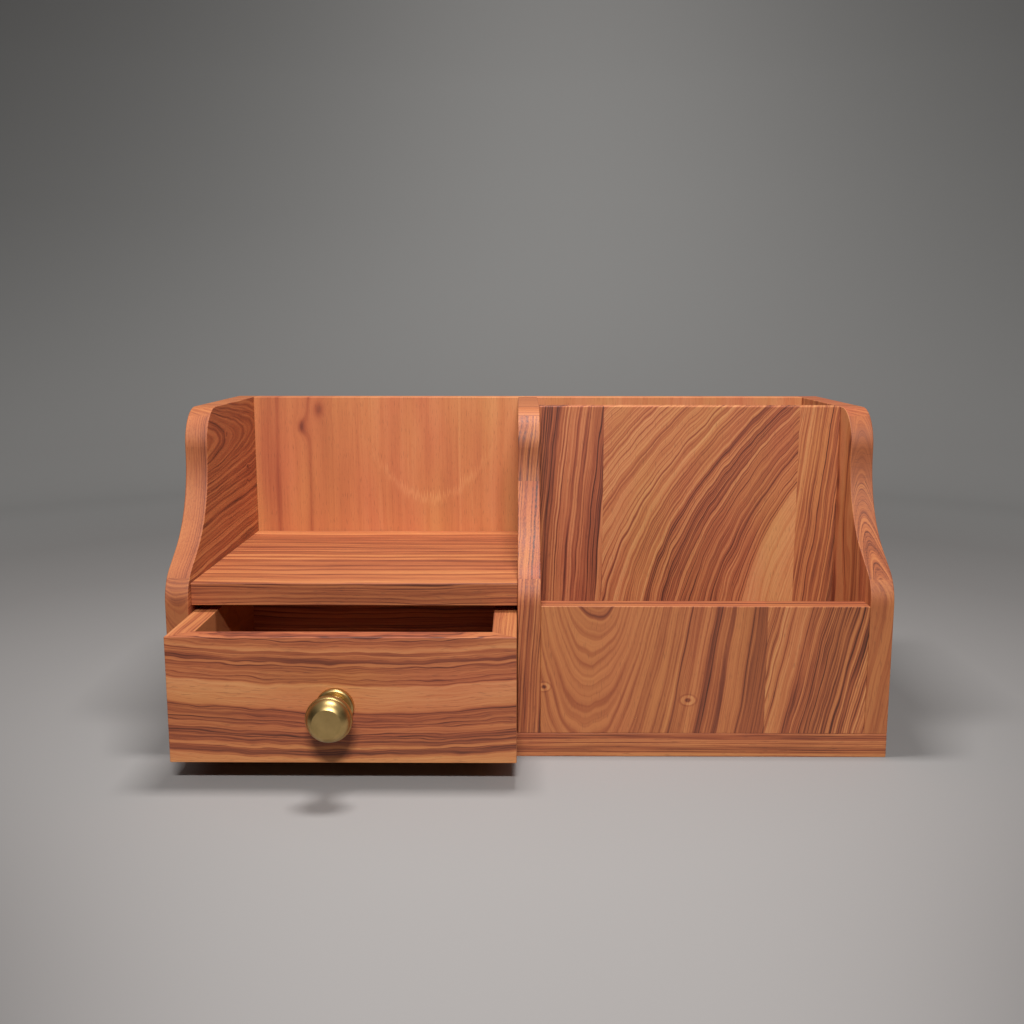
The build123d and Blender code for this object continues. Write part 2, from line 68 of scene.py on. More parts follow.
def add(tree, kind, inputs=(), output=0, **settings):
    """Add a shader node with its settings, give its inputs values or links, and return one of its outputs.

    inputs goes from a socket's name or number to a plain value or to another node's output. The operands of
    Math and VectorMath nodes share their names, so they go by number.
    """
    node = tree.nodes.new("ShaderNode" + kind)
    for name, value in settings.items():
        setattr(node, name, value)
    for socket, value in dict(inputs).items():
        if isinstance(value, bpy.types.NodeSocket):
            tree.links.new(value, node.inputs[socket])
        else:
            node.inputs[socket].default_value = value
    return node.outputs[output]


def set_stops(ramp, stops):
    """Give a colour ramp its stops, each a place from 0 to 1 and a linear colour."""
    while len(ramp.elements) > 1:
        ramp.elements.remove(ramp.elements[-1])
    ramp.elements[0].position = stops[0][0]
    ramp.elements[0].color = (*stops[0][1], 1)
    for place, colour in stops[1:]:
        ramp.elements.new(place).color = (*colour, 1)


def new_material(name, viewport_colour):
    """Make a node material that holds only its output, and return it with its tree and the output node."""
    material = bpy.data.materials.new(name)
    material.use_nodes = True
    material.node_tree.nodes.clear()
    material.diffuse_color = (*viewport_colour, 1)
    output = material.node_tree.nodes.new("ShaderNodeOutputMaterial")
    return material, material.node_tree, output


def dress(node_name, material):
    """Put a material on a frame node, in place of its plain one."""
    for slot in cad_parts[node_name].material_slots:
        slot.link = "DATA"
        slot.material = material


# -------- sheesham boards

# How much darker each mark makes the wood as it goes from 0 to 1. Shade runs from 0, palest, to 1, darkest.
BAND_SHADE = 0.70
PATCH_SHADE = 0.24
FIBRE_SHADE = 0.12
LINED_FIBRE_SHADE = 0.20
CHOSEN_SHADE = 2.0
LINE_SHADE = 0.60
HAIR_LINE_SHADE = 0.7  # as a share of the wide lines'
KNOT_SHADE = 0.3
PIN_SHADE = -0.17
PIN_OUTLINE_SHADE = 0.12
PIN_CORE_SHADE = 0.5
VEIN_SHADE = -0.15
# The average of the lines, taken off so that they leave a board's tone as it is.
USUAL_HAIR_LINES = 0.2
USUAL_LINES = 0.08
# Lines lie where ring noise passes through LINE_NOISE, and fade out LINE_REACH from it.
LINE_NOISE = 0.54
LINE_REACH = 0.11
WIDE_LINE_SPACING = 0.9  # in band widths, and so is the next
HAIR_LINE_SPACING = 0.36
# Chosen rings paler than this keep only some of their lines, because pale rings grew fast and have few. Plain
# rings, which are neither paler nor darker, keep them all.
PALE_RINGS = 0.44
PALE_RING_LINES = 0.25
PLAIN_RING = 0.5
KNOT_SQUASH = 0.7  # a knot is longer along the grain than across it
KNOT_PUSH = 1.1  # how far it pushes the rings, in radii
KNOT_CORE = 0.55  # its dark core, in radii
PIN_SQUASH = 1.4  # a pin knot is wider across the grain than along it
PIN_OUTLINE = 1.05  # in radii, and so are the next three
PIN_OUTLINE_REACH = 0.15
PIN_OVAL = {"From Min": 0.8, "From Max": 1.0, **FALLING}
PIN_CORE = {"From Min": 0.25, "From Max": 0.5, **FALLING}
# The vein's half width, how far fibres fray it, how far aside it starts and ends fading, squared, and what is
# left of it there.
VEIN_REACH = 3.5
VEIN_FRAYING = 22.0
VEIN_FADE_START, VEIN_FADE_END = 400, 1400
VEIN_FADED = 0.2
# How long each kind of mark is along, across and through a board, in millimetres. Real pores are about 0.2 mm
# wide. They are drawn 0.5 mm wide and 5 mm long, so that they show.
FIBRE_LENGTHS = (30, 0.6, 0.8)
PATCH_LENGTHS = (60, 14, 14)
BLUSH_LENGTHS = (90, 22, 22)
PORE_LENGTHS = (5, 0.5, 0.5)
# Pores open as their noise goes from start to end. They take on some of the darkest colour, and dip.
PORE_START, PORE_END = 0.60, 0.74
PORE_COLOUR = 0.30
PORE_DEPTH = -0.6
# A face is narrow where its normal leans this far, as a cosine, from straight through the board.
NARROW_FACE = 0.6
# Each noise moves off by its seed times these, so that two boards never show the same waves.
SEED_STEPS = (1.0, 1.7, 0.6)


class Board(NamedTuple):
    """How one board was sawn from the log. Lengths are in millimetres from the board's middle.

    The board's own directions are along the grain, across it, and through it. Growth rings are circles round
    the log's pith, a line that runs along the grain. A ring's number is its distance from the pith, less the
    distance of the board's middle, so it counts millimetres of growth outwards from the middle.
    """

    grain: str  # the axis that the grain follows
    across: str  # the axis across the grain
    pith: tuple  # where the pith passes, across and through
    lean: float = 0.0  # how far the pith drifts across for each millimetre along
    bend: float = 0.0  # how much that drift grows for each millimetre along
    taper: float = 0.0  # how far the pith drifts through the board for each millimetre along
    waves: tuple = (2.0, 110.0, 40.0)  # how far slow waves push the rings, and their lengths along and across
    ripples: tuple = (0.5, 30.0, 10.0)  # the same for short waves
    band: float = 7.0  # the usual width of a colour band
    tone: float = 0.45  # how dark the board is as a whole, from 0 to 1
    contrast: float = 1.0  # how strongly its colour bands show
    lines: float = 1.0  # how strongly its dark lines show
    redness: float = 0.5  # 0 is golden and 1 is reddish
    shades: tuple = ()  # how much darker some rings are: ring number and shade, joined by straight lines
    knots: tuple = ()  # knots that push the rings aside: places along and across, and the radius
    pins: tuple = ()  # pin knots, pale with a dark core: places along and across, and the radius
    vein: tuple = ()  # a pale vein, open upwards: its lowest place along and across, and how steeply it bends
    seed: float = 0.0  # another number gives other waves and lines


def board_place(tree, node_name, board):
    """Give a point's place along, across and through a board, in millimetres from the board's middle."""
    low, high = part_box(node_name)
    along, across = AXES[board.grain], AXES[board.across]
    turn = Matrix((along, across, along.cross(across)))
    middle = turn @ ((low + high) / 2 / MM)
    coordinates = add(tree, "TexCoord", output="Object")
    scale = (1 / MM,) * 3
    mapping = {"Vector": coordinates, "Location": -middle, "Rotation": turn.to_euler(), "Scale": scale}
    return add(tree, "Mapping", mapping)


def pushed(tree, place, waves, seed):
    """Push places across and through the board by smooth waves."""
    amount, along, across = waves
    stretch = (1 / along, 1 / across, 1 / across)
    stretched = add(tree, "VectorMath", {0: place, 1: stretch}, operation="MULTIPLY")
    shift = [seed * step for step in SEED_STEPS]
    shifted = add(tree, "VectorMath", {0: stretched, 1: shift}, operation="ADD")
    noise = add(tree, "TexNoise", {"Vector": shifted, "Scale": 1.0, "Detail": 1.0}, output="Color")
    centred = add(tree, "VectorMath", {0: noise, 1: (NOISE_MIDDLE,) * 3}, operation="SUBTRACT")
    push = (0.0, amount / NOISE_REACH, amount / NOISE_REACH)
    return add(tree, "VectorMath", {0: centred, 1: push, 2: place}, operation="MULTIPLY_ADD")


def from_knot(tree, place, knot, squash):
    """Give a place's offset from a knot's middle on the board's face, in radii, squashed along the grain."""
    along, across, radius = knot
    offset = add(tree, "VectorMath", {0: place, 1: (along, across, 0)}, operation="SUBTRACT")
    return add(tree, "VectorMath", {0: offset, 1: (squash / radius, 1 / radius, 0)}, operation="MULTIPLY")


def knot_bump(tree, place, knot):
    """Give a knot's bump: 1 in its middle, falling off as exp(-d^2) with the distance d in radii."""
    offset = from_knot(tree, place, knot, KNOT_SQUASH)
    squared = add(tree, "VectorMath", {0: offset, 1: offset}, "Value", operation="DOT_PRODUCT")
    negative = add(tree, "Math", {0: squared, 1: -1.0}, operation="MULTIPLY")
    return add(tree, "Math", {0: negative}, operation="EXPONENT")


def pin_knot(tree, place, pin, shade):
    """Draw a pin knot: a pale oval with a thin dark outline and a dark core."""
    offset = from_knot(tree, place, pin, PIN_SQUASH)
    distance = add(tree, "VectorMath", {0: offset}, "Value", operation="LENGTH")
    oval = add(tree, "MapRange", {"Value": distance, **PIN_OVAL})
    outline = add(tree, "Math", {0: distance, 1: PIN_OUTLINE, 2: PIN_OUTLINE_REACH}, operation="COMPARE")
    core = add(tree, "MapRange", {"Value": distance, **PIN_CORE})
    shade = weighted(tree, oval, 0.0, PIN_SHADE, shade)
    shade = weighted(tree, outline, 0.0, PIN_OUTLINE_SHADE, shade)
    return weighted(tree, core, 0.0, PIN_CORE_SHADE, shade)


def pale_vein(tree, place, vein, fibres, shade):
    """Draw a pale vein, frayed along the fibres and fading to both sides.

    It lies where place along = lowest + steepness * (place across - middle)^2.
    """
    lowest, middle, steepness = vein
    split = add(tree, "SeparateXYZ", {0: place}).node.outputs
    aside = add(tree, "Math", {0: split["Y"], 1: middle}, operation="SUBTRACT")
    squared = add(tree, "Math", {0: aside, 1: aside}, operation="MULTIPLY")
    unbent = add(tree, "Math", {0: squared, 1: -steepness, 2: split["X"]}, operation="MULTIPLY_ADD")
    frayed = weighted(tree, fibres, NOISE_MIDDLE, VEIN_FRAYING, unbent)
    above = add(tree, "Math", {0: frayed, 1: lowest}, operation="SUBTRACT")
    distance = add(tree, "Math", {0: above}, operation="ABSOLUTE")
    line = add(tree, "MapRange", {"Value": distance, "From Max": VEIN_REACH, **FALLING})
    fading = {"Value": squared, "From Min": VEIN_FADE_START, "From Max": VEIN_FADE_END}
    fade = add(tree, "MapRange", {**fading, "To Min": 1.0, "To Max": VEIN_FADED})
    faded = add(tree, "Math", {0: line, 1: fade}, operation="MULTIPLY")
    return weighted(tree, faded, 0.0, VEIN_SHADE, shade)


def ring_number(tree, place, board):
    """Give the ring number of each point of a board, as Board describes it."""
    waved = pushed(tree, place, board.waves, board.seed)
    rippled = pushed(tree, waved, board.ripples, board.seed + 5)
    split = add(tree, "SeparateXYZ", {0: rippled}).node.outputs
    growth = add(tree, "Math", {0: split["X"], 1: board.bend, 2: board.lean}, operation="MULTIPLY_ADD")
    pith_across = add(tree, "Math", {0: growth, 1: split["X"], 2: board.pith[0]}, operation="MULTIPLY_ADD")
    drift_through = {0: split["X"], 1: board.taper, 2: board.pith[1]}
    pith_through = add(tree, "Math", drift_through, operation="MULTIPLY_ADD")
    across = add(tree, "Math", {0: split["Y"], 1: pith_across}, operation="SUBTRACT")
    through = add(tree, "Math", {0: split["Z"], 1: pith_through}, operation="SUBTRACT")
    spoke = add(tree, "CombineXYZ", {"X": across, "Y": through})
    distance = add(tree, "VectorMath", {0: spoke}, "Value", operation="LENGTH")
    ring = add(tree, "Math", {0: distance, 1: math.hypot(*board.pith)}, operation="SUBTRACT")
    for knot in board.knots:
        bump = knot_bump(tree, place, knot)
        ring = add(tree, "Math", {0: bump, 1: KNOT_PUSH * knot[2], 2: ring}, operation="MULTIPLY_ADD")
    return ring


def ring_noise(tree, ring, width, seed, detail):
    """Give noise that changes from ring to ring, about every so many millimetres, from 0 to 1."""
    count = add(tree, "Math", {0: ring, 1: 1 / width, 2: seed}, operation="MULTIPLY_ADD")
    inputs = {"W": count, "Scale": 1.0, "Detail": detail, "Roughness": 0.55}
    return add(tree, "TexNoise", inputs, noise_dimensions="1D")


def ring_lines(tree, ring, spacing, seed):
    """Give lines along some of the rings, 1 in a line's middle and 0 between them.

    A line is about a quarter as wide as the spacing between lines.
    """
    noise = ring_noise(tree, ring, spacing, seed, 1.0)
    off_line = add(tree, "Math", {0: noise, 1: LINE_NOISE}, operation="SUBTRACT")
    distance = add(tree, "Math", {0: off_line}, operation="ABSOLUTE")
    return add(tree, "MapRange", {"Value": distance, "From Max": LINE_REACH, **FALLING})


def grain_noise(tree, place, lengths, seed, detail=1.0):
    """Give noise whose spots have the given lengths along, across and through the board, from 0 to 1."""
    sizes = [1 / length for length in lengths]
    shift = (seed, seed, seed)
    stretched = add(tree, "VectorMath", {0: place, 1: sizes, 2: shift}, operation="MULTIPLY_ADD")
    return add(tree, "TexNoise", {"Vector": stretched, "Scale": 1.0, "Detail": detail})


def weighted(tree, value, middle, weight, total):
    """Give total + weight * (value - middle)."""
    start = add(tree, "Math", {0: total, 1: weight * middle}, operation="SUBTRACT")
    return add(tree, "Math", {0: value, 1: weight, 2: start}, operation="MULTIPLY_ADD")


def chosen_shade(tree, ring, shades):
    """Give the rings that a board's shades name their shade: 1 is darkest, 0.5 plain and 0 palest."""
    # One ring more than the furthest one named, so that every stop lies inside the ramp.
    reach = max(abs(shades[0][0]), abs(shades[-1][0])) + 1
    stops = [((number + reach) / (2 * reach), (PLAIN_RING + shade / 2,) * 3) for number, shade in shades]
    where = add(tree, "MapRange", {"Value": ring, "From Min": -reach, "From Max": reach})
    ramp = add(tree, "ValToRGB", {"Fac": where})
    set_stops(ramp.node.color_ramp, stops)
    return ramp


def board_colour(tree, node_name, board):
    """Give each point of a board its colour, how dark it is from 0 to 1, and the noise of its fibres."""
    colours = bpy.context.scene.organizer_wood
    place = board_place(tree, node_name, board)
    ring = ring_number(tree, place, board)
    # Fibres and patches lie along the rings, so they are looked up by ring number and not by place across.
    split = add(tree, "SeparateXYZ", {0: place}).node.outputs
    flow = add(tree, "CombineXYZ", {"X": split["X"], "Y": ring, "Z": split["Z"]})
    # Each noise has a seed of its own, so that no two of them go together.
    fibres = grain_noise(tree, flow, FIBRE_LENGTHS, board.seed + 7, 2.0)
    patches = grain_noise(tree, flow, PATCH_LENGTHS, board.seed + 3)
    bands = ring_noise(tree, ring, board.band, board.seed * 3 + 11, 2.0)
    wide_lines = ring_lines(tree, ring, board.band * WIDE_LINE_SPACING, board.seed * 5 + 23)
    hair_lines = ring_lines(tree, ring, board.band * HAIR_LINE_SPACING, board.seed * 7 + 37)

    shade = add(tree, "Value")
    shade.default_value = board.tone
    shade = weighted(tree, bands, NOISE_MIDDLE, BAND_SHADE * board.contrast, shade)
    shade = weighted(tree, patches, NOISE_MIDDLE, PATCH_SHADE, shade)
    shade = weighted(tree, fibres, NOISE_MIDDLE, FIBRE_SHADE + LINED_FIBRE_SHADE * board.lines, shade)
    lines = weighted(tree, hair_lines, USUAL_HAIR_LINES, HAIR_LINE_SHADE, wide_lines)
    broken = add(tree, "Math", {0: lines, 1: fibres}, operation="MULTIPLY")
    if board.shades:
        chosen = chosen_shade(tree, ring, board.shades)
        shade = weighted(tree, chosen, PLAIN_RING, CHOSEN_SHADE, shade)
        thinning = {"Value": chosen, "From Min": PALE_RINGS, "From Max": PLAIN_RING}
        lined = add(tree, "MapRange", {**thinning, "To Min": PALE_RING_LINES})
        broken = add(tree, "Math", {0: broken, 1: lined}, operation="MULTIPLY")
    shade = weighted(tree, broken, USUAL_LINES, LINE_SHADE * board.lines, shade)
    for along, across, radius in board.knots:
        core = knot_bump(tree, place, (along, across, radius * KNOT_CORE))
        shade = weighted(tree, core, 0.0, KNOT_SHADE, shade)
    for pin in board.pins:
        shade = pin_knot(tree, place, pin, shade)
    if board.vein:
        shade = pale_vein(tree, place, board.vein, fibres, shade)

    heartwood = add(tree, "ValToRGB", {"Fac": shade})
    stops = ((0.05, colours.pale), (0.32, colours.gold), (0.56, colours.brown), (0.80, colours.dark))
    set_stops(heartwood.node.color_ramp, [*stops, (1.0, colours.darkest)])
    spots = grain_noise(tree, place, BLUSH_LENGTHS, board.seed + 13)
    reddening = {"Value": spots, "From Min": NOISE_LOW, "From Max": NOISE_HIGH, "To Max": 2 * board.redness}
    blush = add(tree, "MapRange", reddening)
    tints = {FACTOR: blush, FIRST_COLOUR: (*colours.golden, 1), SECOND_COLOUR: (*colours.reddish, 1)}
    tint = add(tree, "Mix", tints, MIXED_COLOUR, data_type="RGBA")
    tinting = {FACTOR: 1.0, FIRST_COLOUR: heartwood, SECOND_COLOUR: tint}
    tinted = add(tree, "Mix", tinting, MIXED_COLOUR, data_type="RGBA", blend_type="MULTIPLY")

    pores = grain_noise(tree, place, PORE_LENGTHS, board.seed + 17)
    open_pores = add(tree, "MapRange", {"Value": pores, "From Min": PORE_START, "From Max": PORE_END})
    filling = add(tree, "Math", {0: open_pores, 1: PORE_COLOUR}, operation="MULTIPLY")
    filled = {FACTOR: filling, FIRST_COLOUR: tinted, SECOND_COLOUR: (*colours.darkest, 1)}
    colour = add(tree, "Mix", filled, MIXED_COLOUR, data_type="RGBA")
    height = weighted(tree, open_pores, 0.0, PORE_DEPTH, fibres)
    return colour, shade, height


def mixed(tree, factor, first, second):
    """Mix two boards' colour, shade and height: 0 is the first board and 1 the second."""
    colours = {FACTOR: factor, FIRST_COLOUR: first[0], SECOND_COLOUR: second[0]}
    colour = add(tree, "Mix", colours, MIXED_COLOUR, data_type="RGBA")
    shade = add(tree, "Mix", {FACTOR: factor, FIRST_VALUE: first[1], SECOND_VALUE: second[1]})
    height = add(tree, "Mix", {FACTOR: factor, FIRST_VALUE: first[2], SECOND_VALUE: second[2]})
    return colour, shade, height


def edge_strips(tree, node_name, strips):
    """Lay strips one above another along an upright edge, each from its lowest height in millimetres up."""
    coordinates = add(tree, "TexCoord", output="Object")
    height = add(tree, "SeparateXYZ", {0: coordinates}, "Z")
    laid = board_colour(tree, node_name, strips[0][1])
    for lowest, strip in strips[1:]:
        above = add(tree, "Math", {0: height, 1: lowest * MM}, operation="GREATER_THAN")
        laid = mixed(tree, above, laid, board_colour(tree, node_name, strip))
    return laid


def sheesham(node_name, board, strips=()):
    """Make one board's sheesham, Indian rosewood, planed, sanded and oiled.

    It is golden to reddish brown with purple-brown bands of uneven width, dark hair lines between them, short
    open pores that catch oil, and a low satin sheen. Strips of other cuts show on the narrow faces.
    """
    material, tree, output = new_material(f"Sheesham_{node_name}", bpy.context.scene.organizer_wood.gold)
    looks = board_colour(tree, node_name, board)
    if strips:
        through = AXES[board.grain].cross(AXES[board.across])
        normal = add(tree, "TexCoord", output="Normal")
        facing = add(tree, "VectorMath", {0: normal, 1: through}, "Value", operation="DOT_PRODUCT")
        slant = add(tree, "Math", {0: facing}, operation="ABSOLUTE")
        narrow = add(tree, "Math", {0: slant, 1: NARROW_FACE}, operation="LESS_THAN")
        looks = mixed(tree, narrow, looks, edge_strips(tree, node_name, strips))
    colour, shade, height = looks
    gloss = {"Value": shade, "From Min": 0.1, "From Max": 0.9, "To Min": 0.66, "To Max": 0.52}
    roughness = add(tree, "MapRange", gloss)
    bump = add(tree, "Bump", {"Height": height, "Strength": 0.3, "Distance": 0.12 * MM})
    inputs = {"Base Color": colour, "Roughness": roughness, "Normal": bump, "Specular IOR Level": 0.45}
    shader = add(tree, "BsdfPrincipled", inputs)
    tree.links.new(shader, output.inputs["Surface"])
    return material


LEFT_SIDE = Board(
    grain="Y", across="Z", pith=(60.0, -18.9), taper=-0.068, waves=(0.6, 60.0, 40.0),
    ripples=(0.3, 24.0, 10.0), band=4.0, tone=0.40, contrast=0.8, redness=0.3,
    knots=((4.0, 61.0, 1.8), (47.0, 38.0, 1.8), (46.0, 30.0, 1.4)), seed=1.0,
)
MIDDLE_SIDE = Board(
    grain="Z", across="Y", pith=(-45.0, 60.0), waves=(1.5, 80.0, 40.0), band=4.5, tone=0.42, contrast=0.8,
    redness=0.6, seed=2.0,
)
RIGHT_SIDE = Board(
    grain="Z", across="Y", pith=(-20.0, 90.0), waves=(2.0, 90.0, 30.0), band=5.0, tone=0.32, contrast=0.8,
    redness=0.5, seed=3.0,
)
BACK_PANEL = Board(
    grain="Z", across="X", pith=(-400.0, 20.0), waves=(1.5, 160.0, 50.0), ripples=(0.3, 60.0, 14.0),
    band=16.0, tone=0.26, contrast=0.16, lines=0.15, redness=0.5,
    shades=((-165.0, 0.2), (-161.0, 0.08), (-158.0, 0.17), (-151.5, 0.13), (-149.0, 0.27), (-146.5, 0.1),
            (-132.0, 0.1), (-129.5, 0.27), (-127.0, 0.09), (-100.0, 0.06), (-70.0, 0.0), (-41.0, 0.02),
            (-39.7, -0.14), (-38.6, 0.05), (-19.0, -0.02), (-16.0, 0.1), (-13.0, 0.0)),
    knots=((70.0, -124.7, 5.0), (59.8, -135.3, 4.5)), vein=(16.5, -58.0, 0.022), seed=4.0,
)
SHELF = Board(
    grain="X", across="Y", pith=(-200.0, -200.0), waves=(2.2, 150.0, 36.0), ripples=(0.7, 40.0, 12.0),
    band=4.5, tone=0.45, contrast=0.55, lines=0.9, redness=0.2,
    shades=((-50.0, 0.04), (-41.0, 0.04), (-39.0, -0.05), (-36.0, -0.05), (-28.0, 0.0), (-25.0, -0.12),
            (-21.0, 0.0), (-16.0, 0.08), (-12.0, 0.0), (-6.0, 0.0), (-3.6, -0.12), (0.0, 0.02), (13.0, 0.02),
            (17.5, 0.16), (21.0, 0.0), (28.0, 0.0), (31.0, 0.2), (32.0, 0.05), (33.0, 0.22), (35.0, 0.02),
            (45.0, 0.0), (48.6, -0.2), (52.0, -0.1)),
    seed=5.0,
)
LETTER_FRONT_LEFT = Board(
    grain="Z", across="X", pith=(-30.9, 25.5), lean=0.06, taper=-0.176, waves=(0.7, 60.0, 30.0),
    ripples=(0.3, 24.0, 8.0), band=3.0, tone=0.44, contrast=0.3, lines=0.7, redness=0.2,
    shades=((-14.1, -0.06), (-14.0, 0.16), (-13.85, -0.12), (-12.2, -0.06), (-12.1, 0.14), (-11.95, -0.06),
            (-9.0, -0.06), (-8.8, 0.38), (-8.65, -0.2), (-8.3, -0.06), (-5.25, -0.06), (-5.1, 0.22),
            (-4.95, -0.12), (-4.5, -0.06), (-1.3, -0.06), (-0.9, 0.22), (-0.6, -0.06), (12.9, -0.03),
            (13.6, 0.28), (14.3, -0.02), (24.0, -0.05), (25.2, 0.28), (27.6, 0.18), (28.8, -0.08),
            (32.4, 0.18), (33.6, -0.08), (40.8, -0.07), (42.0, 0.28), (43.2, -0.04), (44.6, 0.24),
            (47.4, 0.2)),
    pins=((-15.0, 17.2, 3.9), (-8.4, -52.9, 3.3), (-24.0, -8.3, 0.9)), seed=6.0,
)
LETTER_FRONT_RIGHT = Board(
    grain="Z", across="X", pith=(-200.0, 90.0), lean=0.23, waves=(1.2, 60.0, 24.0), ripples=(0.45, 22.0, 8.0),
    band=3.0, tone=0.36, contrast=0.6, lines=1.2, redness=0.3,
    shades=((-24.0, -0.05), (-20.0, 0.05), (-17.0, -0.05), (-13.5, 0.08), (-12.0, -0.08), (-8.0, -0.1),
            (-5.8, 0.3), (-4.6, 0.0), (-1.0, 0.1), (1.0, 0.0), (2.0, 0.15), (3.4, 0.0), (5.0, 0.2),
            (6.4, 0.0), (8.5, 0.22), (10.2, 0.0), (13.0, 0.2), (15.5, 0.15), (17.0, 0.0), (20.0, 0.12),
            (24.0, 0.0)),
    seed=7.0,
)
DIVIDER_LEFT = Board(
    grain="Z", across="X", pith=(-200.0, 60.0), lean=0.066, bend=0.00032, waves=(0.8, 80.0, 24.0),
    ripples=(0.4, 20.0, 6.0), band=4.0, tone=0.36, contrast=0.6, lines=1.2, redness=0.5,
    shades=((-17.0, 0.15), (-13.0, 0.05), (-11.0, 0.22), (-8.0, 0.05), (-5.0, 0.0), (-2.5, -0.12),
            (0.0, 0.05), (4.0, 0.0), (8.5, 0.0), (10.5, 0.17), (13.5, 0.2), (16.0, 0.0)),
    seed=8.0,
)
DIVIDER_MIDDLE = Board(
    grain="Z", across="X", pith=(-190.0, 40.0), lean=0.4, bend=0.0038, waves=(1.4, 70.0, 30.0),
    ripples=(0.7, 20.0, 8.0), band=3.0, tone=0.31, contrast=0.45, lines=1.2, redness=0.4,
    shades=((-62.0, -0.05), (-41.2, -0.05), (-40.7, 0.3), (-40.1, -0.05), (-30.0, -0.05), (-28.6, 0.3),
            (-27.4, -0.05), (-19.5, -0.05), (-17.4, 0.35), (-15.9, 0.0), (-11.0, 0.0), (-9.0, 0.3),
            (-7.4, 0.05), (-4.2, 0.3), (-2.0, 0.02), (3.0, 0.05), (5.6, 0.28), (8.0, 0.04), (12.0, 0.28),
            (14.5, 0.04), (18.6, 0.2), (22.0, 0.02), (28.0, 0.0), (31.6, 0.26), (33.4, -0.14), (60.0, -0.14)),
    seed=9.0,
)
DIVIDER_RIGHT = Board(
    grain="Z", across="X", pith=(-200.0, 60.0), lean=0.12, waves=(0.8, 70.0, 24.0), ripples=(0.4, 20.0, 6.0),
    band=3.4, tone=0.35, contrast=0.7, lines=1.2, redness=0.35,
    shades=((-14.0, -0.05), (-6.5, -0.05), (-4.2, 0.25), (-2.6, 0.0), (0.6, 0.25), (2.2, 0.0), (6.0, -0.05),
            (9.0, 0.2), (12.0, 0.2)),
    seed=10.0,
)
BASE = Board(
    grain="X", across="Z", pith=(-120.0, 30.0), waves=(0.5, 200.0, 30.0), ripples=(0.2, 70.0, 10.0), band=2.4,
    tone=0.39, contrast=0.5, lines=1.3, redness=0.5,
    shades=((-6.0, 0.1), (-4.0, 0.12), (-2.6, -0.1), (-1.6, -0.05), (-1.0, 0.15), (-0.4, -0.1), (1.6, -0.07),
            (2.4, 0.2), (3.6, 0.2), (4.6, 0.0)),
    seed=11.0,
)
DRAWER_FRONT = Board(
    grain="X", across="Z", pith=(-240.0, 40.0), bend=0.00066, waves=(1.2, 90.0, 26.0),
    ripples=(0.8, 16.0, 4.5), band=3.6, tone=0.41, contrast=0.2, lines=0.9, redness=0.4,
    shades=((-30.0, -0.15), (-28.2, -0.15), (-27.4, 0.12), (-25.6, 0.17), (-24.6, 0.0), (-22.6, -0.02),
            (-21.6, 0.15), (-19.0, 0.18), (-17.0, 0.1), (-16.2, -0.08), (-14.6, -0.05), (-13.6, 0.14),
            (-9.6, 0.2), (-5.8, 0.16), (-5.2, 0.0), (-4.2, -0.13), (-1.0, -0.17), (4.2, -0.17), (5.4, -0.24),
            (6.4, 0.06), (12.0, 0.04), (14.9, 0.02), (15.4, 0.16), (17.0, 0.14), (17.5, 0.03), (20.6, 0.02),
            (21.2, -0.12), (22.6, -0.12), (23.4, 0.06), (29.0, 0.08)),
    seed=12.0,
)
DRAWER_SIDE = Board(
    grain="Y", across="Z", pith=(20.0, -60.0), waves=(1.5, 90.0, 30.0), band=4.0, tone=0.40, contrast=0.5,
    lines=0.6, redness=0.4, seed=13.0,
)
DRAWER_BACK = Board(
    grain="X", across="Z", pith=(-120.0, 60.0), waves=(2.0, 120.0, 30.0), band=5.0, tone=0.40, contrast=0.7,
    redness=0.7, seed=14.0,
)
DRAWER_STOPS = Board(
    grain="X", across="Z", pith=(-60.0, 60.0), waves=(0.8, 60.0, 20.0), band=4.0, tone=0.46, redness=0.5,
    seed=15.0,
)

# Other cuts of the wood, which show on the boards' narrow faces.
CUPS = Board(
    grain="Z", across="X", pith=(0.6, -59.9), taper=-0.15, waves=(0.5, 50.0, 20.0), ripples=(0.2, 16.0, 8.0),
    band=2.2, tone=0.5, contrast=0.4, lines=0.6, redness=0.0, seed=28.0,
)
QUIET_GOLD = CUPS._replace(
    pith=(-60.0, -160.0), taper=0.1, band=4.0, tone=0.48, contrast=0.3, lines=0.5, seed=24.0,
)
RED_GOLD = QUIET_GOLD._replace(redness=0.6)
END_GRAIN = CUPS._replace(pith=(0.6, -60.0), taper=-0.5, band=3.0, seed=26.0)
# These arches stand one in another up the edge: they are looked up as rings that bend across it.
ARCHES_UP = Board(
    grain="X", across="Z", pith=(-3000.0, 0.0), bend=-0.42, waves=(0.9, 12.0, 24.0), ripples=(0.25, 6.0, 8.0),
    band=6.0, tone=0.55, contrast=0.35, lines=0.8, redness=0.0, seed=23.0,
)
HIGH_ARCHES = ARCHES_UP._replace(bend=-0.6, tone=0.6, contrast=0.4, lines=0.35, seed=27.0)
LETTER_TOP = Board(
    grain="X", across="Y", pith=(-200.0, 60.0), waves=(0.4, 90.0, 20.0), band=2.5, tone=0.5, redness=0.7,
    seed=30.0,
)
FINE_LINED = Board(
    grain="Z", across="X", pith=(-3000.0, 0.0), waves=(0.4, 80.0, 30.0), ripples=(0.2, 30.0, 6.0), band=6.0,
    tone=0.49, contrast=0.2, lines=0.3, redness=0.15,
    shades=((-5.6, 0.1), (-4.8, 0.0), (0.8, 0.0), (1.2, 0.16), (1.6, 0.0), (2.2, 0.0), (2.6, 0.2), (3.0, 0.0),
            (3.5, 0.2), (3.9, 0.0), (4.4, 0.2), (4.8, 0.02)),
    seed=21.0,
)
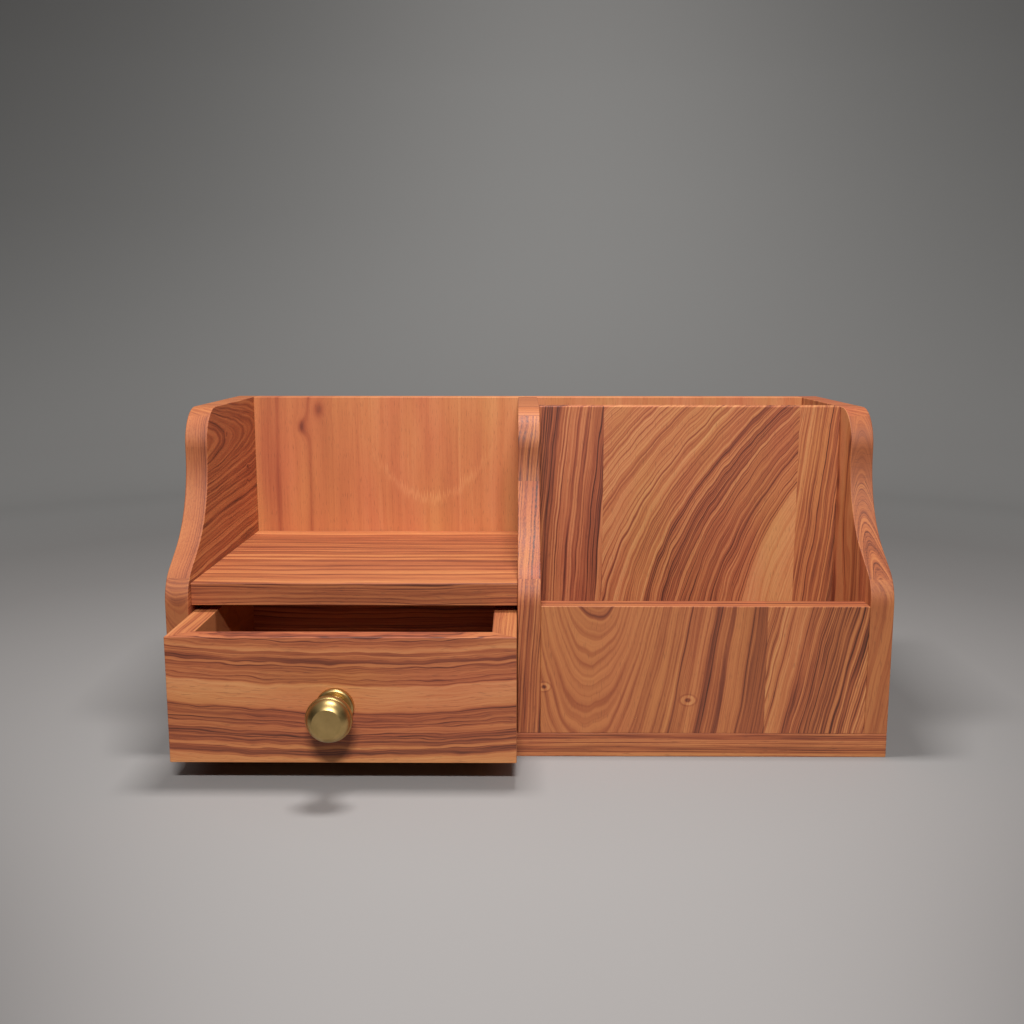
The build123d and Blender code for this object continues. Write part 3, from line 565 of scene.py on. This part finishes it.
SALMON_LINED = Board(
    grain="Z", across="X", pith=(-3000.0, 0.0), lean=0.06, waves=(0.4, 70.0, 30.0), ripples=(0.2, 22.0, 6.0),
    band=3.0, tone=0.47, contrast=0.5, redness=0.7, seed=22.0,
)
GREY_STRIPED = SALMON_LINED._replace(tone=0.46, contrast=0.8, redness=0.4, seed=25.0)
TAN_CURVES = SALMON_LINED._replace(lean=0.1, waves=(1.3, 30.0, 14.0), tone=0.51, redness=0.2, seed=29.0)
# The edges of the three sides show several cuts: each is a height in millimetres and the cut from there up.
LEFT_STRIPS = ((12.0, CUPS), (88.2, FINE_LINED), (163.0, QUIET_GOLD))
MIDDLE_STRIPS = ((12.0, GREY_STRIPED), (88.2, SALMON_LINED), (130.6, TAN_CURVES), (163.0, END_GRAIN))
RIGHT_STRIPS = ((12.0, QUIET_GOLD), (88.2, ARCHES_UP), (130.6, HIGH_ARCHES), (163.0, RED_GOLD))
# The upper edges of the letter front's staves show one cut.
LETTER_STRIPS = ((0.0, LETTER_TOP),)


# -------- plain wood, brass and steel

DARK_SPANGLE = 0.7  # the darkest zinc, as a share of its plain colour


def pale_wood(name, node_name, grain, across, colour, line_colour):
    """Make a plain pale wood: a close, even grain with faint darker lines along it, sanded and left dull."""
    material, tree, output = new_material(name, linear(colour))
    place = board_place(tree, node_name, Board(grain=grain, across=across, pith=(-80.0, 40.0)))
    # Beech and birch fibres are finer than a pixel, so their lines are drawn 0.8 mm wide.
    lines = grain_noise(tree, place, (30, 0.8, 0.8), 1.0, 2.0)
    flecks = grain_noise(tree, place, (3, 0.5, 0.5), 4.0)
    figure = add(tree, "Math", {0: lines, 1: flecks}, operation="MULTIPLY")
    ramp = add(tree, "ValToRGB", {"Fac": figure}, output="Color")
    set_stops(ramp.node.color_ramp, ((0.12, linear(line_colour)), (0.34, linear(colour))))
    bump = add(tree, "Bump", {"Height": lines, "Strength": 0.3, "Distance": 0.1 * MM})
    inputs = {"Base Color": ramp, "Roughness": 0.6, "Normal": bump}
    tree.links.new(add(tree, "BsdfPrincipled", inputs), output.inputs["Surface"])
    return material


def turned_brass():
    """Make the knob's brass, turned on a lathe, lacquered and a little aged.

    Turning gives fine rings round the axis that draw highlights out sideways. Age gives dull olive patches.
    """
    metal = bpy.context.scene.organizer_metal
    material, tree, output = new_material("Brass_turned_and_lacquered", metal.brass)
    low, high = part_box("knob")
    middle = (low + high) / 2
    coordinates = add(tree, "TexCoord", output="Object")
    centring = {"Vector": coordinates, "Location": -middle / MM, "Scale": (1 / MM,) * 3}
    place = add(tree, "Mapping", centring)
    flat = add(tree, "VectorMath", {0: place, 1: (1, 0, 1)}, operation="MULTIPLY")
    radius = add(tree, "VectorMath", {0: flat}, "Value", operation="LENGTH")
    depth = add(tree, "SeparateXYZ", {0: place}, "Y")
    # Turning marks are about 0.1 mm apart. They are drawn 0.35 mm apart, so that they show.
    reach = add(tree, "Math", {0: radius, 1: depth}, operation="ADD")
    marks = add(tree, "TexNoise", {"W": reach, "Scale": 1 / 0.35, "Detail": 1.0}, noise_dimensions="1D")
    # The olive patches are about 5 mm across.
    patches = add(tree, "TexNoise", {"Vector": place, "Scale": 1 / 5.0, "Detail": 3.0})
    ageing = {FACTOR: patches, FIRST_COLOUR: (*metal.brass, 1), SECOND_COLOUR: (*metal.aged_brass, 1)}
    colour = add(tree, "Mix", ageing, MIXED_COLOUR, data_type="RGBA")
    dulling = {"Value": patches, "From Min": NOISE_LOW, "From Max": NOISE_HIGH}
    dullness = add(tree, "MapRange", {**dulling, "To Min": 0.32, "To Max": 0.42})
    bump = add(tree, "Bump", {"Height": marks, "Strength": 0.12, "Distance": 0.03 * MM})
    inputs = {"Base Color": colour, "Metallic": 1.0, "Roughness": dullness, "Normal": bump}
    tree.links.new(add(tree, "BsdfPrincipled", inputs), output.inputs["Surface"])
    return material


def zinc_steel():
    """Make the screws' steel, zinc plated: a cool grey metal with a soft shine and faint cloudy spangles."""
    metal = bpy.context.scene.organizer_metal
    material, tree, output = new_material("Steel_zinc_plated", metal.zinc)
    coordinates = add(tree, "TexCoord", output="Object")
    # Plating clouds are 1 to 2 mm across.
    clouds = add(tree, "TexNoise", {"Vector": coordinates, "Scale": 1 / (1.5 * MM), "Detail": 3.0})
    dark = [part * DARK_SPANGLE for part in metal.zinc]
    clouding = {FACTOR: clouds, FIRST_COLOUR: (*metal.zinc, 1), SECOND_COLOUR: (*dark, 1)}
    colour = add(tree, "Mix", clouding, MIXED_COLOUR, data_type="RGBA")
    dullness = add(tree, "MapRange", {"Value": clouds, "To Min": 0.28, "To Max": 0.48})
    inputs = {"Base Color": colour, "Metallic": 1.0, "Roughness": dullness}
    tree.links.new(add(tree, "BsdfPrincipled", inputs), output.inputs["Surface"])
    return material


# -------- studio

# Places and sizes are in metres.
CAMERA_PLACE = Vector((-0.004725, -0.590645, 0.206538))
CAMERA_DOWN = math.radians(9.4145)
CAMERA_LEFT = math.radians(0.3786)
CAMERA_ROLL = math.radians(0.0204)
CAMERA_LENS = 38.60  # millimetres, and so is the sensor
SENSOR_WIDTH = 36.0
KEY_LAMP_PLACE = Vector((0.03, -1.15, 0.91))
KEY_LAMP_TARGET = Vector((0, 0, 0.06))
KEY_LAMP_SIZE = (0.30, 0.05)
TOP_LAMP_PLACE = Vector((-0.03, -0.075, 0.635))
TOP_LAMP_SIZE = (0.18, 0.09)
FILL_COLOUR = (1.0, 0.985, 0.965)
# How finely the bowl is cut along its floor, cove and wall, and round its axis.
FLOOR_POINTS = 13
COVE_POINTS = 25
WALL_POINTS = 5
BOWL_TURNS = 96
# Painted light: how far the paper has gone from its floor colour to its paler wall colour, along the floor
# and then up the wall.
PAINTED_PAPER_LIGHT = (
    (0.0, 0.07), (0.2, 0.07), (0.3, 0.02), (0.46, 0.02), (0.63, 0.15), (0.81, 0.53), (0.93, 0.62),
    (1.14, 0.62), (1.38, 0.76), (1.72, 0.98), (1.9, 1.0), (2.02, 0.88),
)
PAPER_CLIMB = 2.1
# Painted shade where the lamps' light falls off: how the paper darkens aside, on the floor, more so up the
# wall, and in the floor's near corners.
PAINTED_SIDE_SHADE = 0.4
PAINTED_SIDE_SHADE_UP = 3.3
PAINTED_CORNER_SHADE = 10.0
CORNER_FADE = -15.0
PAPER_SHIFT = 0.08  # how far the line that it darkens from moves to the right


def make_camera():
    """Stand the camera in front of the organizer, a little above it and looking slightly down."""
    camera = bpy.data.cameras.new("camera")
    camera.lens = CAMERA_LENS
    camera.sensor_width = SENSOR_WIDTH
    stand = bpy.data.objects.new("camera", camera)
    bpy.context.scene.collection.objects.link(stand)
    swing = Matrix.Rotation(CAMERA_LEFT, 4, "Z")
    tilt = Matrix.Rotation(math.pi / 2 - CAMERA_DOWN, 4, "X")
    roll = Matrix.Rotation(CAMERA_ROLL, 4, "Z")
    stand.matrix_world = Matrix.Translation(CAMERA_PLACE) @ swing @ tilt @ roll
    bpy.context.scene.camera = stand


def make_bowl(stage):
    """Make the studio's floor and backdrop as one round bowl: a flat disc, a quarter circle cove and a wall.

    Its profile is a radius and a height for each parameter s, turned through the angle t about the Z axis:
    x = r(s) cos t, y = r(s) sin t, z = h(s).
    """
    cove = np.linspace(0, math.pi / 2, COVE_POINTS)
    flat = np.linspace(0, stage.floor_radius, FLOOR_POINTS)[:-1]
    wall = np.linspace(stage.cove_radius, stage.wall_height, WALL_POINTS)[1:]
    radius = np.concatenate((
        flat,
        stage.floor_radius + stage.cove_radius * np.sin(cove),
        np.full(wall.size, stage.floor_radius + stage.cove_radius),
    ))
    height = np.concatenate((np.zeros(flat.size), stage.cove_radius * (1 - np.cos(cove)), wall))
    angle = np.arange(BOWL_TURNS) * 2 * math.pi / BOWL_TURNS
    x = radius[1:, None] * np.cos(angle)
    y = radius[1:, None] * np.sin(angle)
    z = np.repeat(height[1:, None], BOWL_TURNS, axis=1)
    points = np.concatenate(([[0.0, 0.0, 0.0]], np.stack((x, y, z), axis=-1).reshape(-1, 3)))
    # Point 0 is the hub, and each ring of points after it starts where the one before ends.
    step = np.arange(BOWL_TURNS)
    near = 1 + step
    beside = 1 + (step + 1) % BOWL_TURNS
    hub = np.stack((np.zeros(BOWL_TURNS, int), near, beside), axis=-1)
    ring = np.arange(radius.size - 2)[:, None] * BOWL_TURNS
    corners = (ring + near, ring + near + BOWL_TURNS, ring + beside + BOWL_TURNS, ring + beside)
    quads = np.stack(corners, axis=-1).reshape(-1, 4)
    mesh = bpy.data.meshes.new("studio_bowl")
    mesh.from_pydata(points.tolist(), [], hub.tolist() + quads.tolist())
    mesh.shade_smooth()
    bowl = bpy.data.objects.new("studio_bowl", mesh)
    bpy.context.scene.collection.objects.link(bowl)
    mesh.materials.append(seamless_paper(stage))


def seamless_paper(stage):
    """Make the backdrop paper: a matt warm grey roll with a faint tooth, with painted light and shade on it.

    Its brightness is painted light: it follows how far a point is from the middle, along the floor and then
    up the wall, and grows paler up the wall. It is divided by 1 + (PAINTED_SIDE_SHADE + PAINTED_SIDE_SHADE_UP
    z) a^2 + PAINTED_CORNER_SHADE x^4 exp(CORNER_FADE y), a painted shade where the lamps' light falls off
    aside and in the floor's near corners. There x and y are across the floor in metres, z is the height, and
    a is the distance aside from a line that moves PAPER_SHIFT to the right up the cove.
    """
    material, tree, output = new_material("Paper_seamless_backdrop_with_painted_light", stage.paper)
    coordinates = add(tree, "TexCoord", output="Object")
    place = add(tree, "SeparateXYZ", {0: coordinates}).node.outputs
    outwards = add(tree, "VectorMath", {0: coordinates, 1: (1, 1, 0)}, operation="MULTIPLY")
    radius = add(tree, "VectorMath", {0: outwards}, "Value", operation="LENGTH")
    climb = add(tree, "Math", {0: radius, 1: place["Z"]}, operation="ADD")
    climbed = add(tree, "MapRange", {"Value": climb, "From Max": PAPER_CLIMB})
    painted_light = add(tree, "ValToRGB", {"Fac": climbed})
    set_stops(painted_light.node.color_ramp, [(far / PAPER_CLIMB, (pale,) * 3) for far, pale in PAINTED_PAPER_LIGHT])
    # Painted light: the paper is mixed from its floor colour towards a paler colour up the wall.
    papers = {FACTOR: painted_light, FIRST_COLOUR: (*stage.paper, 1), SECOND_COLOUR: (*stage.painted_lit_paper, 1)}
    plain = add(tree, "Mix", papers, MIXED_COLOUR, data_type="RGBA")

    # Painted shade: the paper is darkened aside and in the floor's near corners, where the lamps' light falls
    # off.
    up = add(tree, "MapRange", {"Value": place["Z"], "From Max": stage.cove_radius, "To Max": PAPER_SHIFT})
    aside = add(tree, "Math", {0: place["X"], 1: up}, operation="SUBTRACT")
    aside_squared = add(tree, "Math", {0: aside, 1: 2.0}, operation="POWER")
    darkness = {0: place["Z"], 1: PAINTED_SIDE_SHADE_UP, 2: PAINTED_SIDE_SHADE}
    strength = add(tree, "Math", darkness, operation="MULTIPLY_ADD")
    painted_shade_divisor = add(tree, "Math", {0: aside_squared, 1: strength, 2: 1.0}, operation="MULTIPLY_ADD")
    nearness = add(tree, "Math", {0: place["Y"], 1: CORNER_FADE}, operation="MULTIPLY")
    near = add(tree, "Math", {0: nearness}, operation="EXPONENT")
    across = add(tree, "Math", {0: place["X"], 1: 4.0}, operation="POWER")
    corners = add(tree, "Math", {0: near, 1: across}, operation="MULTIPLY")
    painted_shade_divisor = add(tree, "Math", {0: corners, 1: PAINTED_CORNER_SHADE, 2: painted_shade_divisor}, operation="MULTIPLY_ADD")
    colour = add(tree, "VectorMath", {0: plain, 1: painted_shade_divisor}, operation="DIVIDE")
    # Paper tooth is about 0.3 mm, too fine to show, so it is drawn 2 mm wide and very low.
    tooth = add(tree, "TexNoise", {"Vector": coordinates, "Scale": 1 / (2 * MM), "Detail": 2.0})
    bump = add(tree, "Bump", {"Height": tooth, "Strength": 0.1, "Distance": 0.05 * MM})
    inputs = {"Base Color": colour, "Roughness": 0.9, "Normal": bump, "Specular IOR Level": 0.2}
    tree.links.new(add(tree, "BsdfPrincipled", inputs), output.inputs["Surface"])
    return material


def make_lamp(name, place, target, size, level):
    """Hang a rectangular lamp that faces a target. At level 1 it makes a white sheet there white."""
    lamp = bpy.data.lights.new(name, "AREA")
    lamp.shape = "RECTANGLE"
    lamp.size, lamp.size_y = size
    # A small lamp lights a sheet that faces it by power / (pi * distance^2), and white needs pi of that.
    lamp.energy = level * math.pi**2 * (target - place).length_squared
    stand = bpy.data.objects.new(name, lamp)
    turn = (target - place).to_track_quat("-Z", "Y")
    stand.matrix_world = Matrix.Translation(place) @ turn.to_matrix().to_4x4()
    bpy.context.scene.collection.objects.link(stand)


def make_lamps(stage):
    """Light the organizer with a strip lamp in front and above, a small soft box overhead and a low fill."""
    make_lamp("key_lamp", KEY_LAMP_PLACE, KEY_LAMP_TARGET, KEY_LAMP_SIZE, stage.key_light)
    below = Vector((TOP_LAMP_PLACE.x, TOP_LAMP_PLACE.y, 0))
    make_lamp("top_lamp", TOP_LAMP_PLACE, below, TOP_LAMP_SIZE, stage.top_light)
    world = bpy.data.worlds.new("studio_air")
    world.use_nodes = True
    background = world.node_tree.nodes["Background"]
    background.inputs["Color"].default_value = (*FILL_COLOUR, 1)
    background.inputs["Strength"].default_value = stage.fill_light
    bpy.context.scene.world = world


# -------- settings


class OrganizerWood(bpy.types.PropertyGroup):
    """Colours of the sheesham, from its palest wood to its darkest bands."""

    pale: bpy.props.FloatVectorProperty(
        name="Pale wood", description="The palest sheesham", subtype="COLOR",
        default=linear("#D29A74"))
    gold: bpy.props.FloatVectorProperty(
        name="Golden wood", description="The plain wood between bands", subtype="COLOR",
        default=linear("#BE7B57"))
    brown: bpy.props.FloatVectorProperty(
        name="Brown wood", description="The middle of the colour range", subtype="COLOR",
        default=linear("#A25D42"))
    dark: bpy.props.FloatVectorProperty(
        name="Dark bands", description="The dark bands", subtype="COLOR",
        default=linear("#7A4133"))
    darkest: bpy.props.FloatVectorProperty(
        name="Darkest lines", description="Hair lines and knots", subtype="COLOR",
        default=linear("#4E2A22"))
    golden: bpy.props.FloatVectorProperty(
        name="Golden tint", description="The tint of golden wood", subtype="COLOR",
        default=linear("#FFF6CC"))
    reddish: bpy.props.FloatVectorProperty(
        name="Red tint", description="The tint of reddish wood", subtype="COLOR",
        default=linear("#FFE2CC"))


class OrganizerMetal(bpy.types.PropertyGroup):
    """Colours of the metals."""

    brass: bpy.props.FloatVectorProperty(
        name="Brass", description="Clean lacquered brass", subtype="COLOR",
        default=linear("#D2B277"))
    aged_brass: bpy.props.FloatVectorProperty(
        name="Aged brass", description="Brass where it has dulled", subtype="COLOR",
        default=linear("#A88C58"))
    zinc: bpy.props.FloatVectorProperty(
        name="Zinc", description="Zinc plating", subtype="COLOR",
        default=linear("#B9B8B2"))


class OrganizerStage(bpy.types.PropertyGroup):
    """Sizes, colours and light levels of the studio."""

    floor_radius: bpy.props.FloatProperty(
        name="Floor radius", description="The flat part of the floor", default=0.9, unit="LENGTH")
    cove_radius: bpy.props.FloatProperty(
        name="Cove radius", description="The curve from floor to wall", default=0.4, unit="LENGTH")
    wall_height: bpy.props.FloatProperty(
        name="Wall height", description="The height of the backdrop", default=0.8, unit="LENGTH")
    paper: bpy.props.FloatVectorProperty(
        name="Floor colour", description="The paper on the floor", subtype="COLOR",
        default=linear("#979391"))
    # Painted light: the paler paper that the wall fades to, standing in for the lamps' light.
    painted_lit_paper: bpy.props.FloatVectorProperty(
        name="Wall colour of painted light", description="The paper at the top of the wall, paler as painted light", subtype="COLOR",
        default=linear("#CBCAC8"))
    key_light: bpy.props.FloatProperty(
        name="Key light", description="1 makes a white sheet that faces the lamp white", default=0.76)
    top_light: bpy.props.FloatProperty(
        name="Top light", description="1 makes a white sheet on the floor below white", default=0.72)
    fill_light: bpy.props.FloatProperty(
        name="Fill light", description="1 makes a white sheet white by itself", default=0.2)


SETTINGS = {
    "organizer_wood": OrganizerWood,
    "organizer_metal": OrganizerMetal,
    "organizer_stage": OrganizerStage,
}


# -------- operators


class ORGANIZER_OT_sides(bpy.types.Operator):
    """Finish the left, middle and right sides"""

    bl_idname = "organizer.sides"
    bl_label = "Finish the sides"

    def execute(self, context):
        boards = {
            "left_side": (LEFT_SIDE, LEFT_STRIPS),
            "middle_side": (MIDDLE_SIDE, MIDDLE_STRIPS),
            "right_side": (RIGHT_SIDE, RIGHT_STRIPS),
        }
        for node_name, (board, strips) in boards.items():
            dress(node_name, sheesham(node_name, board, strips))
        return {"FINISHED"}


class ORGANIZER_OT_back_and_base(bpy.types.Operator):
    """Finish the back panel and the base board"""

    bl_idname = "organizer.back_and_base"
    bl_label = "Finish the back and base"

    def execute(self, context):
        dress("back_panel", sheesham("back_panel", BACK_PANEL))
        dress("base_board", sheesham("base_board", BASE))
        return {"FINISHED"}


class ORGANIZER_OT_shelf(bpy.types.Operator):
    """Finish the shelf over the drawer"""

    bl_idname = "organizer.shelf"
    bl_label = "Finish the shelf"

    def execute(self, context):
        dress("shelf_board", sheesham("shelf_board", SHELF))
        return {"FINISHED"}


class ORGANIZER_OT_letter_rack(bpy.types.Operator):
    """Finish the glued staves of the letter front and of the divider"""

    bl_idname = "organizer.letter_rack"
    bl_label = "Finish the letter rack"

    def execute(self, context):
        staves = {
            "letter_front_left_stave": (LETTER_FRONT_LEFT, LETTER_STRIPS),
            "letter_front_right_stave": (LETTER_FRONT_RIGHT, LETTER_STRIPS),
            "divider_left_stave": (DIVIDER_LEFT, ()),
            "divider_middle_stave": (DIVIDER_MIDDLE, ()),
            "divider_right_stave": (DIVIDER_RIGHT, ()),
        }
        for node_name, (board, strips) in staves.items():
            dress(node_name, sheesham(node_name, board, strips))
        return {"FINISHED"}


class ORGANIZER_OT_drawer(bpy.types.Operator):
    """Finish the drawer's front, sides, back, bottom and the stops behind it"""

    bl_idname = "organizer.drawer"
    bl_label = "Finish the drawer"

    def execute(self, context):
        boards = {
            "drawer_front": DRAWER_FRONT,
            "drawer_left_side": DRAWER_SIDE,
            "drawer_right_side": DRAWER_SIDE._replace(seed=16.0),
            "drawer_back": DRAWER_BACK,
            "drawer_stops": DRAWER_STOPS,
        }
        for node_name, board in boards.items():
            dress(node_name, sheesham(node_name, board))
        birch = pale_wood("Plywood_birch_faced", "drawer_bottom", "X", "Y", "#B98A5E", "#8A5A38")
        dress("drawer_bottom", birch)
        return {"FINISHED"}


class ORGANIZER_OT_joinery(bpy.types.Operator):
    """Finish the dowels and the corner splines"""

    bl_idname = "organizer.joinery"
    bl_label = "Finish the joinery"

    def execute(self, context):
        directions = {
            "shelf_dowels": ("X", "Y"),
            "divider_dowels": ("X", "Y"),
            "letter_front_dowels": ("X", "Y"),
            "back_panel_dowels": ("X", "Y"),
            "drawer_back_dowels": ("X", "Y"),
            "drawer_corner_splines": ("Z", "X"),
        }
        for node_name, (grain, across) in directions.items():
            beech = pale_wood(f"Beech_{node_name}", node_name, grain, across, "#D3AF80", "#A87E50")
            dress(node_name, beech)
        return {"FINISHED"}


class ORGANIZER_OT_knob(bpy.types.Operator):
    """Finish the brass knob"""

    bl_idname = "organizer.knob"
    bl_label = "Finish the knob"

    def execute(self, context):
        dress("knob", turned_brass())
        return {"FINISHED"}


class ORGANIZER_OT_screws(bpy.types.Operator):
    """Finish the base screws, the knob's screw and its washer"""

    bl_idname = "organizer.screws"
    bl_label = "Finish the screws"

    def execute(self, context):
        steel = zinc_steel()
        for node_name in ("base_screws", "knob_screw", "knob_washer"):
            dress(node_name, steel)
        return {"FINISHED"}


class ORGANIZER_OT_studio(bpy.types.Operator):
    """Make the studio: floor, backdrop, lamps and camera"""

    bl_idname = "organizer.studio"
    bl_label = "Make the studio"

    def execute(self, context):
        stage = context.scene.organizer_stage
        context.scene.view_settings.view_transform = "Standard"
        make_camera()
        make_bowl(stage)
        make_lamps(stage)
        return {"FINISHED"}


OPERATORS = (
    ORGANIZER_OT_studio,
    ORGANIZER_OT_sides,
    ORGANIZER_OT_back_and_base,
    ORGANIZER_OT_shelf,
    ORGANIZER_OT_letter_rack,
    ORGANIZER_OT_drawer,
    ORGANIZER_OT_joinery,
    ORGANIZER_OT_knob,
    ORGANIZER_OT_screws,
)


class ORGANIZER_PT_panel(bpy.types.Panel):
    """List the organizer's settings and operators"""

    bl_idname = "ORGANIZER_PT_panel"
    bl_label = "Desk organizer"
    bl_space_type = "VIEW_3D"
    bl_region_type = "UI"
    bl_category = "Organizer"

    def draw(self, context):
        for group, settings in SETTINGS.items():
            for name in settings.__annotations__:
                self.layout.prop(getattr(context.scene, group), name)
        for operator in OPERATORS:
            self.layout.operator(operator.bl_idname)


def register():
    """Register the settings, the operators and the panel."""
    for name, settings in SETTINGS.items():
        bpy.utils.register_class(settings)
        setattr(bpy.types.Scene, name, bpy.props.PointerProperty(type=settings))
    for part in (*OPERATORS, ORGANIZER_PT_panel):
        bpy.utils.register_class(part)


def unregister():
    """Take away what register added."""
    for part in (ORGANIZER_PT_panel, *reversed(OPERATORS)):
        bpy.utils.unregister_class(part)
    for name, settings in SETTINGS.items():
        delattr(bpy.types.Scene, name)
        bpy.utils.unregister_class(settings)


def main():
    """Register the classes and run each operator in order."""
    register()
    for operator in OPERATORS:
        group, name = operator.bl_idname.split(".")
        getattr(getattr(bpy.ops, group), name)()


if __name__ == "__main__":
    main()
